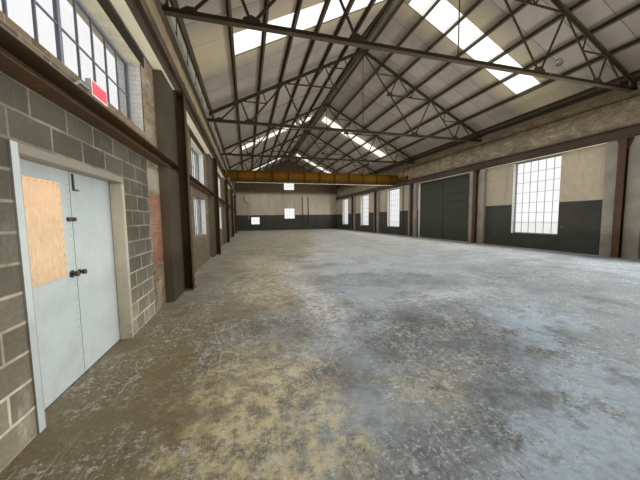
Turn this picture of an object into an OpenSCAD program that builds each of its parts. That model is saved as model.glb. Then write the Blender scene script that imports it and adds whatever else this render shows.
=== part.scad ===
// Factory hall: one tall room of brick and block walls under a steel truss roof,
// with a travelling crane bridge. Origin at the middle of the plan, z = 0 at the ground.
// The long axis is y, the double door is in the wall at negative x, near the front.

/* [Hall] */
// Clear width between the side walls
hall_w = 13900; // [11000:50:16000]
// Distance from one truss to the next
bay_l = 6030; // [5700:10:6200]
// From the last bay line to the inner face of each gable wall
end_space = 450; // [300:10:600]
// Thickness of the masonry walls
wall_t = 305; // [280:5:400]
// Thickness of the concrete floor, which carries the walls
slab_t = 150; // [100:10:250]

/* [Roof] */
// Height of the bottom chord's centre line above the floor
chord_h = 5600; // [5450:10:5900]
// Height of a truss from the bottom chord to the top chords' crossing
truss_h = 3680; // [3500:10:3900]
// Depth of the top and bottom chords
chord_d = 125; // [100:5:150]
// Width of the chords' flange
chord_w = 130; // [100:5:160]
// Depth of a purlin
purlin_d = 150; // [120:5:200]
// Width of a purlin
purlin_w = 70; // [50:5:90]
// Number of purlins on each slope
purlin_count = 6; // [5:1:7]
// Distance between purlins, measured across the hall
purlin_step = 935; // [850:5:960]
// Thickness of the roof sheets
sheet_t = 45; // [30:5:70]
// Distance between the ribs of the roof sheets
rib_step = 905; // [800:5:1000]
// Height of a rib
rib_h = 40; // [25:5:60]
// How far the roof reaches past the walls
eave_over = 300; // [100:10:400]
// Width of a rooflight strip along the hall
rooflight_w = 1000; // [700:10:1200]

/* [Left wall] */
// Top of the block wall above the floor, where the girt runs
block_h = 2410; // [2350:10:2600]
// Distance from the block wall's end to the first bay line
block_end_gap = 1490; // [1100:10:2000]
// Height of the girt
girt_h = 160; // [120:5:200]
// Depth of the girt off the wall
girt_d = 160; // [150:5:200]
// Width of the first window
first_window_w = 3080; // [2400:10:3400]
// Sill of the first window above the floor
first_sill_h = 2800; // [2700:10:3000]
// Width of the other side windows
window_w = 2250; // [1800:10:2600]
// Head of the upper windows above the floor
upper_head_h = 3790; // [3500:10:3850]
// Sill of the lower windows above the floor
lower_sill_h = 950; // [800:10:1200]
// Head of the lower windows above the floor
lower_head_h = 2200; // [1900:10:2230]
// Depth of a window's sash behind the inner face
sash_in = 165; // [100:5:200]
// Width of the left wall's concrete piers, beside the columns
pier_w = 1850; // [1000:10:1900]
// How far the piers stand out from the walls
pier_out = 140; // [80:5:150]

/* [Right wall] */
// Width of the tall windows
tall_window_w = 2050; // [1600:10:2400]
// Sill of the tall windows above the floor
tall_sill_h = 660; // [500:10:1000]
// Head of the tall windows and the big door above the floor
tall_head_h = 3980; // [3700:10:4000]
// Width of the big door
big_door_w = 4800; // [3600:10:4900]
// Width of the right wall's concrete piers
right_pier_w = 1000; // [600:10:1050]

/* [Double door] */
// Width of the doorway in the blocks
doorway_w = 1620; // [1500:10:1900]
// Height of the doorway above the floor
doorway_h = 1995; // [1950:5:2200]
// Distance from the first bay line to the middle of the doorway
doorway_from_bay = 2850; // [2500:10:3200]
// Face width of the door's frame
frame_w = 50; // [40:1:70]
// Depth of the leaves behind the inner face
leaf_in = 118; // [90:1:140]
// Thickness of a leaf
leaf_t = 45; // [35:1:60]

/* [Crane] */
// Underside of the runway beams above the floor
runway_h = 4010; // [4000:5:4200]
// Depth of the runway beams
runway_d = 390; // [300:10:450]
// Flange width of the runway beams
runway_w = 160; // [120:5:200]
// Depth of the bridge girder
girder_d = 780; // [500:10:800]
// Flange width of the bridge girder
girder_w = 300; // [200:10:400]
// Place of the bridge along the hall
bridge_y = 1950; // [0:10:2500]
// Length of an end carriage
carriage_l = 2400; // [1800:10:3000]
// Diameter of a bridge wheel
wheel_d = 220; // [180:5:250]

/* [Hidden] */

bays = 6;
half_w = hall_w / 2;
half_l = bays * bay_l / 2 + end_space;
// A truss bears this far into the walls, where its chords' centre lines are this far apart
heel_in = 150;
heel_h = 130;
apex_h = chord_h + truss_h;
// Rise of the roof for each unit across
roof_rise = (truss_h - heel_h) / (half_w + heel_in);
pitch = atan(roof_rise);
// Heights of the roof's layers over the middle line, measured up from the floor
chord_rise = chord_d / 2 / cos(pitch);
sheet_under = apex_h + chord_rise + purlin_d / cos(pitch);
steel_t = 12;
fit = 0.1;
// Gap under the roof sheets, which lie on the purlins and walls
roof_seat = 0.3;

// Height above the floor of the roof sheets' underside at a distance from the middle line
function under_h(u) = sheet_under - roof_rise * u;
// Height above the floor of the top chord's centre line
function chord_line(u) = apex_h - roof_rise * u;
function truss_y(k) = bay_l * (k - bays / 2);
function bay_y(k) = truss_y(k) + bay_l / 2;

// A straight bar in the x-z plane from point a to point b, w deep and t thick along y
module bar(a, b, w, t) {
    run = norm(b - a);
    turn = atan2(b[1] - a[1], b[0] - a[0]);
    translate([a[0], 0, a[1]]) rotate([0, -turn, 0]) translate([0, -t / 2, -w / 2]) cube([run, t, w]);
}

// Floor
module floor_slab() color("#8d8c88")
    translate([-half_w - wall_t, -half_l - wall_t, 0])
        cube([hall_w + 2 * wall_t, 2 * (half_l + wall_t), slab_t]);

// Everything below stands on the floor
module on_floor() translate([0, 0, slab_t]) children();

// A box given by its place out from the left wall's inner face, along the hall and above the floor
module left_box(out, y, z) on_floor()
    translate([-half_w + out[0], y[0], z[0]]) cube([out[1] - out[0], y[1] - y[0], z[1] - z[0]]);
module right_box(out, y, z) mirror([1, 0, 0]) left_box(out, y, z);

// Doorway in the left wall
doorway_y = truss_y(0) + doorway_from_bay;
doorway = [doorway_y - doorway_w / 2, doorway_y + doorway_w / 2];
block_end = truss_y(1) - block_end_gap;

// Windows: [middle along y, width, sill, head]
window_shift = 250;
first_window = [bay_y(0), first_window_w, first_sill_h, upper_head_h];
upper_windows = [for (k = [1:bays - 1]) [bay_y(k) + window_shift, window_w, block_h + girt_h, upper_head_h]];
lower_windows = [for (k = [1:bays - 1]) [bay_y(k) + window_shift, window_w, lower_sill_h, lower_head_h]];
tall_windows = [for (k = [0, 1, 3, 4, 5]) [bay_y(k), tall_window_w, tall_sill_h, tall_head_h]];
big_door_y = [bay_y(2) - big_door_w / 2, bay_y(2) + big_door_w / 2];

module window_hole(w) left_box([-wall_t - 10, 10], [w[0] - w[1] / 2, w[0] + w[1] / 2], [w[2], w[3]]);
lintel_h = 200;
lintel_bearing = 150;
right_split_h = tall_head_h + lintel_h;
module lintel(w) left_box([-wall_t, 0], [w[0] - w[1] / 2 - lintel_bearing, w[0] + w[1] / 2 + lintel_bearing],
    [w[3], w[3] + lintel_h]);

// Side walls. The top follows the roof sheets.
wall_top_in = under_h(half_w);
wall_top_out = under_h(half_w + wall_t);
pocket_w = 260;
pocket_in = heel_in + 20;
module wall_head(z0) on_floor() rotate([90, 0, 0]) translate([0, 0, -half_l]) linear_extrude(2 * half_l)
    polygon([[-half_w - wall_t, z0], [-half_w, z0], [-half_w, wall_top_in], [-half_w - wall_t, wall_top_out]]);
// Notches where the trusses bear on the wall
bearing_h = chord_h - chord_d / 2;
module truss_pockets() for (k = [1:bays - 1])
    left_box([-pocket_in, 1], [truss_y(k) - pocket_w / 2, truss_y(k) + pocket_w / 2], [bearing_h, wall_top_in + 100]);

module left_block_wall_near() color("#7d766e") left_box([-wall_t, 0], [-half_l, doorway[0]], [0, block_h]);
module left_block_wall_far() color("#7d766e") left_box([-wall_t, 0], [doorway[1], block_end], [0, block_h]);
module left_block_lintel() color("#7d766e") left_box([-wall_t, 0], doorway, [doorway_h, block_h]);
module left_lower_wall() color("#77614f") difference() {
    left_box([-wall_t, 0], [block_end, half_l], [0, block_h]);
    for (w = lower_windows) window_hole(w);
}
module left_upper_wall() color("#77614f") difference() {
    wall_head(block_h);
    for (w = concat([first_window], upper_windows)) { window_hole(w); lintel(w); }
    truss_pockets();
}
module window_lintels() color("#b9b2a3") {
    for (w = concat([first_window], upper_windows)) lintel(w);
    mirror([1, 0, 0]) for (w = tall_windows) lintel(w);
}

module right_lower_wall_front() color("#a59c8a") difference() {
    right_box([-wall_t, 0], [-half_l, big_door_y[0]], [0, right_split_h]);
    mirror([1, 0, 0]) for (w = tall_windows) { window_hole(w); lintel(w); }
}
module right_lower_wall_rear() color("#a59c8a") difference() {
    right_box([-wall_t, 0], [big_door_y[1], half_l], [0, right_split_h]);
    mirror([1, 0, 0]) for (w = tall_windows) { window_hole(w); lintel(w); }
}
module right_door_lintel() color("#b9b2a3") right_box([-wall_t, 0], big_door_y, [tall_head_h, right_split_h]);
module right_upper_wall() color("#77614f") mirror([1, 0, 0]) difference() {
    wall_head(right_split_h);
    truss_pockets();
}

// Gable walls
gable_window_w = 1450;
gable_window_z = [5400, 6800];
gable_lower_z = [1500, 2950];
small_window = [-4465, 1130, 780, 1790];
gable_window_x = 150;
module gable_wall() on_floor() rotate([90, 0, 0]) linear_extrude(wall_t)
    polygon([[-half_w - wall_t, 0], [half_w + wall_t, 0], [half_w + wall_t, wall_top_out], [0, under_h(0)],
        [-half_w - wall_t, wall_top_out]]);
module gable_hole(x, w, z) on_floor() translate([x - w / 2, -wall_t - 10, z[0]])
    cube([w, wall_t + 20, z[1] - z[0]]);
module rear_holes() {
    gable_hole(gable_window_x, gable_window_w, gable_window_z);
    gable_hole(gable_window_x, gable_window_w, gable_lower_z);
    gable_hole(small_window[0], small_window[1], [small_window[2], small_window[3]]);
}
module rear_gable_wall() color("#8b8272") translate([0, half_l + wall_t, 0]) difference() {
    gable_wall();
    rear_holes();
}
module front_gable_wall() color("#77614f") translate([0, -half_l, 0]) difference() {
    gable_wall();
    gable_hole(gable_window_x, gable_window_w, gable_window_z);
}

// Piers, columns and girt
column_d = 300;
column_w = 200;
cap_t = 15;
cap_over = 20;
base_w = 320;
bracket_h = 330;
// A pier stands on both sides of its column. On the left wall the girt divides it.
module pier(y, w, z) {
    left_box([0, pier_out], [y - w / 2, y - column_w / 2], z);
    left_box([0, pier_out], [y + column_w / 2, y + w / 2], z);
}
module left_piers() color("#8f8a80") for (k = [1:bays - 1])
    for (z = [[0, block_h], [block_h + girt_h, runway_h - cap_t]]) pier(truss_y(k), pier_w, z);
module right_piers() color("#8f8a80") mirror([1, 0, 0])
    for (k = [1:bays - 1]) pier(truss_y(k), right_pier_w, [0, runway_h - cap_t]);
module column() {
    for (side = [0, 1]) left_box([side * (column_d - steel_t), side * (column_d - steel_t) + steel_t],
        [-column_w / 2, column_w / 2], [0, runway_h - cap_t]);
    left_box([0, column_d], [-steel_t / 2, steel_t / 2], [0, runway_h - cap_t]);
    left_box([0, column_d + cap_over], [-column_w, column_w], [runway_h - cap_t, runway_h]);
    left_box([pier_out, column_d + cap_over], [-base_w / 2, base_w / 2], [0, cap_t]);
    on_floor() translate([-half_w + column_d / 2, 0, runway_h - cap_t]) rotate([0, -90, 0])
        linear_extrude(steel_t, center = true) for (s = [-1, 1]) scale([1, s])
            polygon([[0, 0], [0, column_w], [-40, column_w], [-bracket_h, column_w / 2], [-bracket_h, 0]]);
}
module columns() color("#3a2a20") for (s = [0, 1]) mirror([s, 0, 0])
    for (k = [1:bays - 1]) translate([0, truss_y(k), 0]) column();
module girt_run(y0, y1) {
    left_box([0, steel_t], [y0, y1], [block_h, block_h + girt_h]);
    left_box([0, girt_d], [y0, y1], [block_h, block_h + steel_t]);
    left_box([0, girt_d], [y0, y1], [block_h + girt_h - steel_t, block_h + girt_h]);
}
module left_girt() color("#35281f") for (k = [0:bays - 1])
    girt_run(k == 0 ? -half_l : truss_y(k) + column_w / 2, k == bays - 1 ? half_l : truss_y(k + 1) - column_w / 2);

// Steel plates along the wall heads, between the notches where the trusses bear
wall_plate_d = 300;
wall_plate_out = 70;
wall_plate_top = chord_line(half_w - 110) + chord_rise - 10;
module wall_plates() color("#42382e") for (s = [0, 1]) mirror([s, 0, 0]) for (k = [0:bays - 1])
    left_box([0, wall_plate_out], [k == 0 ? -half_l : truss_y(k) + pocket_w / 2,
        k == bays - 1 ? half_l : truss_y(k + 1) - pocket_w / 2], [wall_plate_top - wall_plate_d, wall_plate_top]);

// Windows: a steel sash set back in the wall, and its glass
sash_t = 45;
sash_face = 40;
glass_t = 6;
module sash(w) difference() {
    left_box([-sash_in - sash_t, -sash_in], [w[0] - w[1] / 2, w[0] + w[1] / 2], [w[2], w[3]]);
    left_box([-sash_in - sash_t - 1, -sash_in + 1], [w[0] - w[1] / 2 + sash_face, w[0] + w[1] / 2 - sash_face],
        [w[2] + sash_face, w[3] - sash_face]);
}
module pane(w) left_box([-sash_in - (sash_t + glass_t) / 2, -sash_in - (sash_t - glass_t) / 2],
    [w[0] - w[1] / 2 + sash_face, w[0] + w[1] / 2 - sash_face], [w[2] + sash_face, w[3] - sash_face]);
left_windows = concat([first_window], upper_windows, lower_windows);
module left_sashes() color("#6f7370") for (w = left_windows) sash(w);
module right_sashes() color("#6f7370") mirror([1, 0, 0]) for (w = tall_windows) sash(w);
module left_glass() color("#e4ecf0") for (w = left_windows) pane(w);
module right_glass() color("#e4ecf0") mirror([1, 0, 0]) for (w = tall_windows) pane(w);

// Gable windows as the side windows, turned to face along the hall
gable_windows = [[gable_window_x, gable_window_w, gable_window_z[0], gable_window_z[1]],
    [gable_window_x, gable_window_w, gable_lower_z[0], gable_lower_z[1]], small_window];
module to_rear() translate([0, half_l, 0]) rotate([0, 0, -90]) translate([half_w, 0, 0]) children();
module to_front() translate([0, -half_l, 0]) rotate([0, 0, 90]) translate([half_w, 0, 0]) children();
module gable_sashes() color("#6f7370") {
    to_rear() for (w = gable_windows) sash(w);
    to_front() scale([1, -1, 1]) sash(gable_windows[0]);
}
module gable_glass() color("#e4ecf0") {
    to_rear() for (w = gable_windows) pane(w);
    to_front() scale([1, -1, 1]) pane(gable_windows[0]);
}

// Big door in the right wall
big_door_t = 60;
module big_door() color("#3f4a4a")
    right_box([-sash_in - big_door_t, -sash_in], big_door_y, [0, tall_head_h]);

// Double door: a steel frame with stops, and two leaves that swing out
leaf_gap = 6;
floor_gap = 10;
seam = 8;
stop_t = 15;
stop_gap = 5;
inner = [doorway[0] + frame_w, doorway[1] - frame_w];
leaf_w = (inner[1] - inner[0] - 2 * leaf_gap - seam) / 2;
leaf_top = doorway_h - frame_w - leaf_gap;
hinge_r = 9;
hinge_l = 100;
frame_out = 12;
module frame_bars() difference() {
    left_box([-leaf_in - leaf_t, frame_out], doorway, [0, doorway_h]);
    left_box([-leaf_in - leaf_t - 1, -leaf_in + stop_gap], inner, [-1, doorway_h - frame_w]);
    left_box([-leaf_in, frame_out + 1], [inner[0] + stop_t, inner[1] - stop_t], [-1, doorway_h - frame_w - stop_t]);
}
module leaf(y) {
    left_box([-leaf_in - leaf_t, -leaf_in], y, [floor_gap, leaf_top]);
}
near_leaf = [inner[0] + leaf_gap, inner[0] + leaf_gap + leaf_w];
far_leaf = [inner[1] - leaf_gap - leaf_w, inner[1] - leaf_gap];
// Hinges: the pins stand just outside the leaves, the leaf's knuckle turns on the frame's pin
pin_out = -leaf_in - leaf_t - hinge_r - 1;
pin_r = 5;
hinge_heights = [220, 950, 1680];
plate_l = 55;
// A knuckle and its plate, which reaches from the pin over the leaf or the frame
module knuckle(reach) {
    cylinder(h = hinge_l / 2, r = hinge_r, $fn = 32);
    translate([0, min(0, reach), 0]) cube([hinge_r + 1, abs(reach), hinge_l / 2]);
}
module at_hinges(y, up) on_floor() for (h = hinge_heights) translate([-half_w + pin_out, y, h + up]) children();
module leaf_hinges(y, side) difference() {
    at_hinges(y, hinge_l / 2 + fit) knuckle(side * plate_l);
    at_hinges(y, hinge_l / 2) cylinder(h = hinge_l, r = pin_r + fit, $fn = 32);
}
module frame_hinges(y, side) at_hinges(y, 0) {
    knuckle(-side * (leaf_gap + frame_w * 0.8));
    cylinder(h = hinge_l, r = pin_r, $fn = 32);
}
module door_frame() color("#8b9189") {
    frame_bars();
    frame_hinges(near_leaf[0], 1);
    frame_hinges(far_leaf[1], -1);
}
module door_leaf_near() color("#c9d2d4") {
    leaf(near_leaf);
    leaf_hinges(near_leaf[0], 1);
}
module door_leaf_far() color("#c9d2d4") {
    leaf(far_leaf);
    leaf_hinges(far_leaf[1], -1);
}
panel_t = 9;
panel_w = 554;
panel_edge = 50;
panel_low = 985;
panel_high = 1810;
module door_panel() color("#c9a98a") left_box([-leaf_in, -leaf_in + panel_t],
    [near_leaf[0] + panel_edge, near_leaf[0] + panel_edge + panel_w], [panel_low, panel_high]);

// Door fittings, placed from the seam: a knob and a latch on each leaf, and a bolt at the top of one
knob_h = 990;
knob_l = 55;
knob_r = 24;
rose_t = 8;
near_rose_r = 34;
far_rose_r = 26;
module knob(y, rose_r) on_floor() translate([-half_w - leaf_in, y, knob_h]) rotate([0, 90, 0]) {
    cylinder(h = rose_t, r = rose_r, $fn = 48);
    cylinder(h = knob_l - knob_r, r = knob_r / 2, $fn = 32);
    translate([0, 0, knob_l - knob_r]) cylinder(h = knob_r, r = knob_r, $fn = 48);
}
latch_h = 1490;
latch_t = 14;
latch_d = 36;
latch_edge = 4;
module latch(y) left_box([-leaf_in, -leaf_in + latch_t], y, [latch_h - latch_d / 2, latch_h + latch_d / 2]);
bolt_w = 14;
bolt_l = 155;
bolt_lever_l = 80;
bolt_top = leaf_top - 25;
module near_leaf_fittings() color("#5a554c") {
    knob(near_leaf[1] - 2 * near_rose_r, near_rose_r);
    latch([near_leaf[1] - latch_edge - 2 * latch_d, near_leaf[1] - latch_edge]);
}
module far_leaf_fittings() color("#5a554c") {
    knob(far_leaf[0] + far_rose_r + 2 * latch_edge, far_rose_r);
    latch([far_leaf[0] + latch_edge, far_leaf[0] + latch_edge + latch_d]);
    left_box([-leaf_in, -leaf_in + bolt_w], [far_leaf[0] + latch_d, far_leaf[0] + latch_d + bolt_w],
        [bolt_top - bolt_l, bolt_top]);
    left_box([-leaf_in, -leaf_in + bolt_w], [far_leaf[0] + latch_d, far_leaf[0] + latch_d + bolt_lever_l],
        [bolt_top - bolt_l, bolt_top - bolt_l + bolt_w]);
}

// Sign box under the first window, on the brickwork
sign_w = 300;
sign_h = 150;
sign_t = 50;
sign_low = first_sill_h - 110;
sign_from_bay = 2730;
module exit_box() color("#c2473f") left_box([0, sign_t],
    [truss_y(1) - sign_from_bay - sign_w, truss_y(1) - sign_from_bay], [sign_low, sign_low + sign_h]);

// Truss: chords and webs meet on gusset plates
web_d = 64;
sub_d = 48;
web_t = 20;
plate_t = 12;
panel = 2 * purlin_step;
bottom_x = [2850, 5270, 6480];
// Points of the half truss as [distance from the middle, height above the floor]
function on_chord(n) = [n * purlin_step, chord_line(n * purlin_step)];
apex = [0, apex_h];
c1 = [panel, chord_line(panel)];
c2 = [2 * panel, chord_line(2 * panel)];
c3 = [3 * panel, chord_line(3 * panel)];
b1 = [bottom_x[0], chord_h];
b2 = [bottom_x[1], chord_h];
b3 = [bottom_x[2], chord_h];
main_strut = apex + (b1 - apex) / 2;
p_point = (apex + main_strut) / 2;
n_point = (main_strut + c2) / 2;
q_point = c2 + (b2 - c2) * 0.52;
heel = [half_w + heel_in, chord_h + heel_h];
// Flat shapes of the half truss, drawn as [across, up]
module strip(a, b, w) translate(a) rotate(atan2(b[1] - a[1], b[0] - a[0])) translate([0, -w / 2]) square([norm(b - a), w]);
module clip_half() intersection() {
    translate([0, chord_h - chord_d]) square([heel[0], apex_h - chord_h + 2 * chord_d]);
    children();
}
over_apex = apex + [-200, 200 * roof_rise];
past_heel = heel + [200, -200 * roof_rise];
top_flange_up = (chord_d - steel_t) / 2 / cos(pitch);
members = [[apex, b1, web_d], [c2, b1, web_d], [c2, b2, web_d], [c3, b2, web_d], [c3, b3, web_d], [c2, main_strut, web_d],
    [c1, main_strut, sub_d], [c1, n_point, sub_d], [c1, p_point, sub_d], [on_chord(1), p_point, sub_d],
    [on_chord(3), n_point, sub_d], [c3, q_point, sub_d], [on_chord(5), q_point, sub_d]];
module half_truss_flat() clip_half() {
    strip(over_apex, past_heel, chord_d);
    translate([-10, chord_h - chord_d / 2]) square([heel[0] + 10, chord_d]);
    for (m = members) strip(m[0], m[1], m[2]);
}
module half_truss_flanges() clip_half() {
    strip(over_apex + [0, top_flange_up], past_heel + [0, top_flange_up], steel_t);
    translate([-10, chord_h - chord_d / 2]) square([heel[0] + 10, steel_t]);
}
module half_truss_plates() clip_half() for (g = [[main_strut, 190], [b1, 260], [b2, 240], [b3, 200]])
    translate([g[0][0], g[0][1] - chord_d / 2 + 5]) intersection() {
        circle(r = g[1], $fn = 8);
        translate([-g[1], 0]) square([2 * g[1], g[1]]);
    }
module both_halves() {
    children();
    mirror([1, 0]) children();
}
module upright(t) rotate([90, 0, 0]) linear_extrude(t, center = true) both_halves() children();
module truss(k) color("#33261d") translate([0, truss_y(k), slab_t]) {
    upright(web_t) half_truss_flat();
    upright(chord_w) half_truss_flanges();
    upright(web_t + plate_t) half_truss_plates();
    translate([0, 0, chord_h]) cylinder(h = apex_h - chord_h, d = 30, $fn = 24);
}
module truss_1() truss(1);
module truss_2() truss(2);
module truss_3() truss(3);
module truss_4() truss(4);
module truss_5() truss(5);

// Purlins lie on the top chords and run from gable to gable
purlin_flange_t = 10;
module on_slope(u) on_floor() translate([u, 0, chord_line(u) + chord_rise]) rotate([0, pitch, 0]) children();
module channel(h, w, t) difference() {
    translate([-w / 2, -half_l, 0]) cube([w, 2 * half_l, h]);
    translate([-w / 2 + t, -half_l - 1, t]) cube([w, 2 * half_l + 2, h - 2 * t]);
}
purlin_off = 120;
ridge_purlin_off = 190;
module purlins() color("#2f241c") for (s = [0, 1]) mirror([s, 0, 0])
    for (u = concat([ridge_purlin_off], [for (k = [1:purlin_count]) k * purlin_step + purlin_off]))
        on_slope(u) channel(purlin_d, purlin_w, purlin_flange_t);
module eave_struts() color("#2f241c") for (s = [0, 1]) mirror([s, 0, 0])
    on_slope(half_w - 160) channel(purlin_d, purlin_w * 1.5, purlin_flange_t);

// Roof sheets: a ribbed profile pushed down the slope, with holes for the rooflights
slope_l = (half_w + wall_t + eave_over) / cos(pitch);
rib_count = floor((half_l + wall_t) / rib_step);
rib_w = 60;
roof_half_l = half_l + wall_t + 60;
rooflight_top = 480;
rooflight_low = 5750;
rooflight_bays = [1, 3, 5];
rooflight_shift = -420;
module sheet_profile() {
    translate([-roof_half_l, 0]) square([2 * roof_half_l, sheet_t]);
    for (k = [-rib_count:rib_count]) translate([k * rib_step, sheet_t - 1])
        polygon([[-rib_w, 0], [rib_w, 0], [rib_w / 2, rib_h + 1], [-rib_w / 2, rib_h + 1]]);
}
// Puts a shape drawn as [along the hall, up from the sheets' underside] down one slope
module down_slope(from, to) on_floor() translate([0, 0, under_h(0) + roof_seat]) rotate([0, pitch, 0])
    translate([from / cos(pitch), 0, 0]) rotate([90, 0, 90]) linear_extrude((to - from) / cos(pitch)) children();
module rooflight_cut(extra) for (k = rooflight_bays) translate([bay_y(k) + rooflight_shift - rooflight_w / 2, -extra])
    square([rooflight_w, sheet_t + rib_h + 2 * extra]);
module roof_sheets_right() color("#8d8a84") difference() {
    down_slope(60, half_w + wall_t + eave_over) sheet_profile();
    down_slope(rooflight_top, rooflight_low) rooflight_cut(10);
}
module roof_sheets_left() mirror([1, 0, 0]) roof_sheets_right();
module rooflights() color("#f4f4ea") for (s = [0, 1]) mirror([s, 0, 0])
    down_slope(rooflight_top, rooflight_low) intersection() {
        sheet_profile();
        rooflight_cut(10);
    }
cap_w = 320;
module ridge_cap() color("#77756f") for (s = [0, 1]) mirror([s, 0, 0])
    on_floor() translate([0, 0, under_h(0) + 2 * roof_seat + (sheet_t + rib_h) / cos(pitch)]) rotate([90, 0, 0])
        linear_extrude(2 * roof_half_l, center = true)
            polygon([[0, 0], [cap_w, -cap_w * roof_rise], [cap_w, 12 - cap_w * roof_rise], [0, 12]]);

// Crane runway beams on the columns, and their rails
runway_out = 10;
runway_clear = 20;
module i_section(d, w, web, flange) {
    translate([-w / 2, 0]) square([w, flange]);
    translate([-w / 2, d - flange]) square([w, flange]);
    translate([-web / 2, 0]) square([web, d]);
}
runway_x = half_w - runway_out - runway_w / 2;
module runway_beams() color("#5a4a38") for (s = [-1, 1])
    on_floor() translate([s * runway_x, half_l - runway_clear, runway_h]) rotate([90, 0, 0])
        linear_extrude(2 * (half_l - runway_clear)) i_section(runway_d, runway_w, steel_t, 18);
rail_w = 50;
rail_d = 40;
rail_top = runway_h + runway_d + rail_d;
module crane_rails() color("#554a40") for (s = [-1, 1]) on_floor()
    translate([s * runway_x - rail_w / 2, -half_l + runway_clear, runway_h + runway_d])
        cube([rail_w, 2 * (half_l - runway_clear), rail_d]);

// Crane bridge: a plate girder notched over the runways, end carriages and wheels
carriage_w = 140;
carriage_h = 260;
carriage_z = rail_top + 60;
girder_rise = 195;
girder_top = carriage_z + carriage_h + girder_rise;
girder_clear = 40;
girder_flange = 20;
girder_web = 20;
girder_end = runway_x - carriage_w / 2;
// The girder's foot stops short of the columns' cap plates, and its ends pass over the runways
girder_foot = half_w - column_d - cap_over - girder_clear;
stiffener_t = 12;
stiffener_step = 1200;
stiffener_edge = 20;
module bridge_girder() color("#8a6a2f") translate([0, bridge_y, 0]) difference() {
    on_floor() translate([0, 0, girder_top - girder_d]) {
        translate([-girder_end, 0, 0]) rotate([90, 0, 90])
            linear_extrude(2 * girder_end) i_section(girder_d, girder_w, girder_web, girder_flange);
        for (k = [-floor(girder_foot / stiffener_step):floor(girder_foot / stiffener_step)])
            translate([k * stiffener_step - stiffener_t / 2, -girder_w / 2 + stiffener_edge, 0])
                cube([stiffener_t, girder_w - 2 * stiffener_edge, girder_d]);
    }
    for (s = [0, 1]) mirror([s, 0, 0]) on_floor()
        translate([girder_foot, -girder_w, girder_top - girder_d - 1])
            cube([2 * girder_w, 2 * girder_w, rail_top + girder_clear - (girder_top - girder_d) + 1]);
}
module end_carriages() color("#7a5d2a") for (s = [-1, 1]) on_floor() translate([s * runway_x, bridge_y, carriage_z])
    difference() {
        translate([-carriage_w / 2, -carriage_l / 2, 0]) cube([carriage_w, carriage_l, carriage_h]);
        translate([-carriage_w / 2 + steel_t, -carriage_l / 2 - 1, -1])
            cube([carriage_w - 2 * steel_t, carriage_l + 2, carriage_h - steel_t + 1]);
        for (e = [-1, 1]) at_axle(e) axle(2);
    }
// The wheels turn on axles through both plates of the carriage
axle_d = 50;
wheel_gap = 0.3;
wheel_w = carriage_w - 2 * steel_t - 6;
module at_axle(e) translate([0, e * (carriage_l / 2 - wheel_d), rail_top + wheel_gap + wheel_d / 2 - carriage_z])
    rotate([0, 90, 0]) children();
module axle(extra) cylinder(h = carriage_w + extra, d = axle_d, center = true, $fn = 32);
module bridge_wheels() color("#4a4038") for (s = [-1, 1]) for (e = [-1, 1]) on_floor()
    translate([s * runway_x, bridge_y, carriage_z]) at_axle(e) {
        cylinder(h = wheel_w, d = wheel_d, center = true, $fn = 48);
        axle(0);
    }

floor_slab();
left_block_wall_near();
left_block_wall_far();
left_block_lintel();
left_lower_wall();
left_upper_wall();
right_lower_wall_front();
right_lower_wall_rear();
right_door_lintel();
right_upper_wall();
rear_gable_wall();
front_gable_wall();
left_piers();
right_piers();
columns();
left_girt();
window_lintels();
wall_plates();
left_sashes();
right_sashes();
gable_sashes();
left_glass();
right_glass();
gable_glass();
big_door();
door_frame();
door_leaf_near();
door_leaf_far();
door_panel();
near_leaf_fittings();
far_leaf_fittings();
exit_box();
truss_1();
truss_2();
truss_3();
truss_4();
truss_5();
purlins();
eave_struts();
roof_sheets_left();
roof_sheets_right();
rooflights();
ridge_cap();
runway_beams();
crane_rails();
bridge_girder();
end_carriages();
bridge_wheels();
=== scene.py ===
"""Factory hall: finishes, small fittings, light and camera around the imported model."""

import math

import bmesh
import bpy
from bpy.props import FloatProperty, FloatVectorProperty, IntProperty, PointerProperty
from mathutils import Matrix, Vector


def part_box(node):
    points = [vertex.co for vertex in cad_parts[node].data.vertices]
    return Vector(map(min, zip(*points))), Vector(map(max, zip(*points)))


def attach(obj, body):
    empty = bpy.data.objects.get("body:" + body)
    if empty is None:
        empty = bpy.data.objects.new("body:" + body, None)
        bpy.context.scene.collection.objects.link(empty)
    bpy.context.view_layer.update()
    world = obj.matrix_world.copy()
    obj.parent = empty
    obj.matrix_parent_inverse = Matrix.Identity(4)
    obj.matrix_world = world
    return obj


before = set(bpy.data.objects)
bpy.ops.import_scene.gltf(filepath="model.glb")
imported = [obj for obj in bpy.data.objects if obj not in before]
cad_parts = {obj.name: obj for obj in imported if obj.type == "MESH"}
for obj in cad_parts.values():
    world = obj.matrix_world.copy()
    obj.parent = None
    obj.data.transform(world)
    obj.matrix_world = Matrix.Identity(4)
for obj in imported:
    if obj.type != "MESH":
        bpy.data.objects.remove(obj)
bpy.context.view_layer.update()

bl_info = {
    "name": "Factory hall",
    "version": (1, 0, 0),
    "blender": (4, 5, 0),
    "location": "View3D > Sidebar > Factory hall",
    "description": "Finishes and small fittings of a brick factory hall with a travelling crane",
    "category": "Object",
}

HALL = "building"
CRANE = "crane_bridge"
NEAR_LEAF = "near_leaf"
MATERIALS = {}


def paint(code):
    """Give the linear colour of a six-digit screen colour."""
    parts = [int(code[i:i + 2], 16) / 255 for i in (0, 2, 4)]
    return tuple(p / 12.92 if p <= 0.04045 else ((p + 0.055) / 1.055) ** 2.4 for p in parts)


def rgba(value):
    """Give a socket as it is, and a screen colour or three numbers as an opaque colour."""
    if isinstance(value, bpy.types.NodeSocket):
        return value
    return (*(paint(value) if isinstance(value, str) else value), 1.0)


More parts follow.
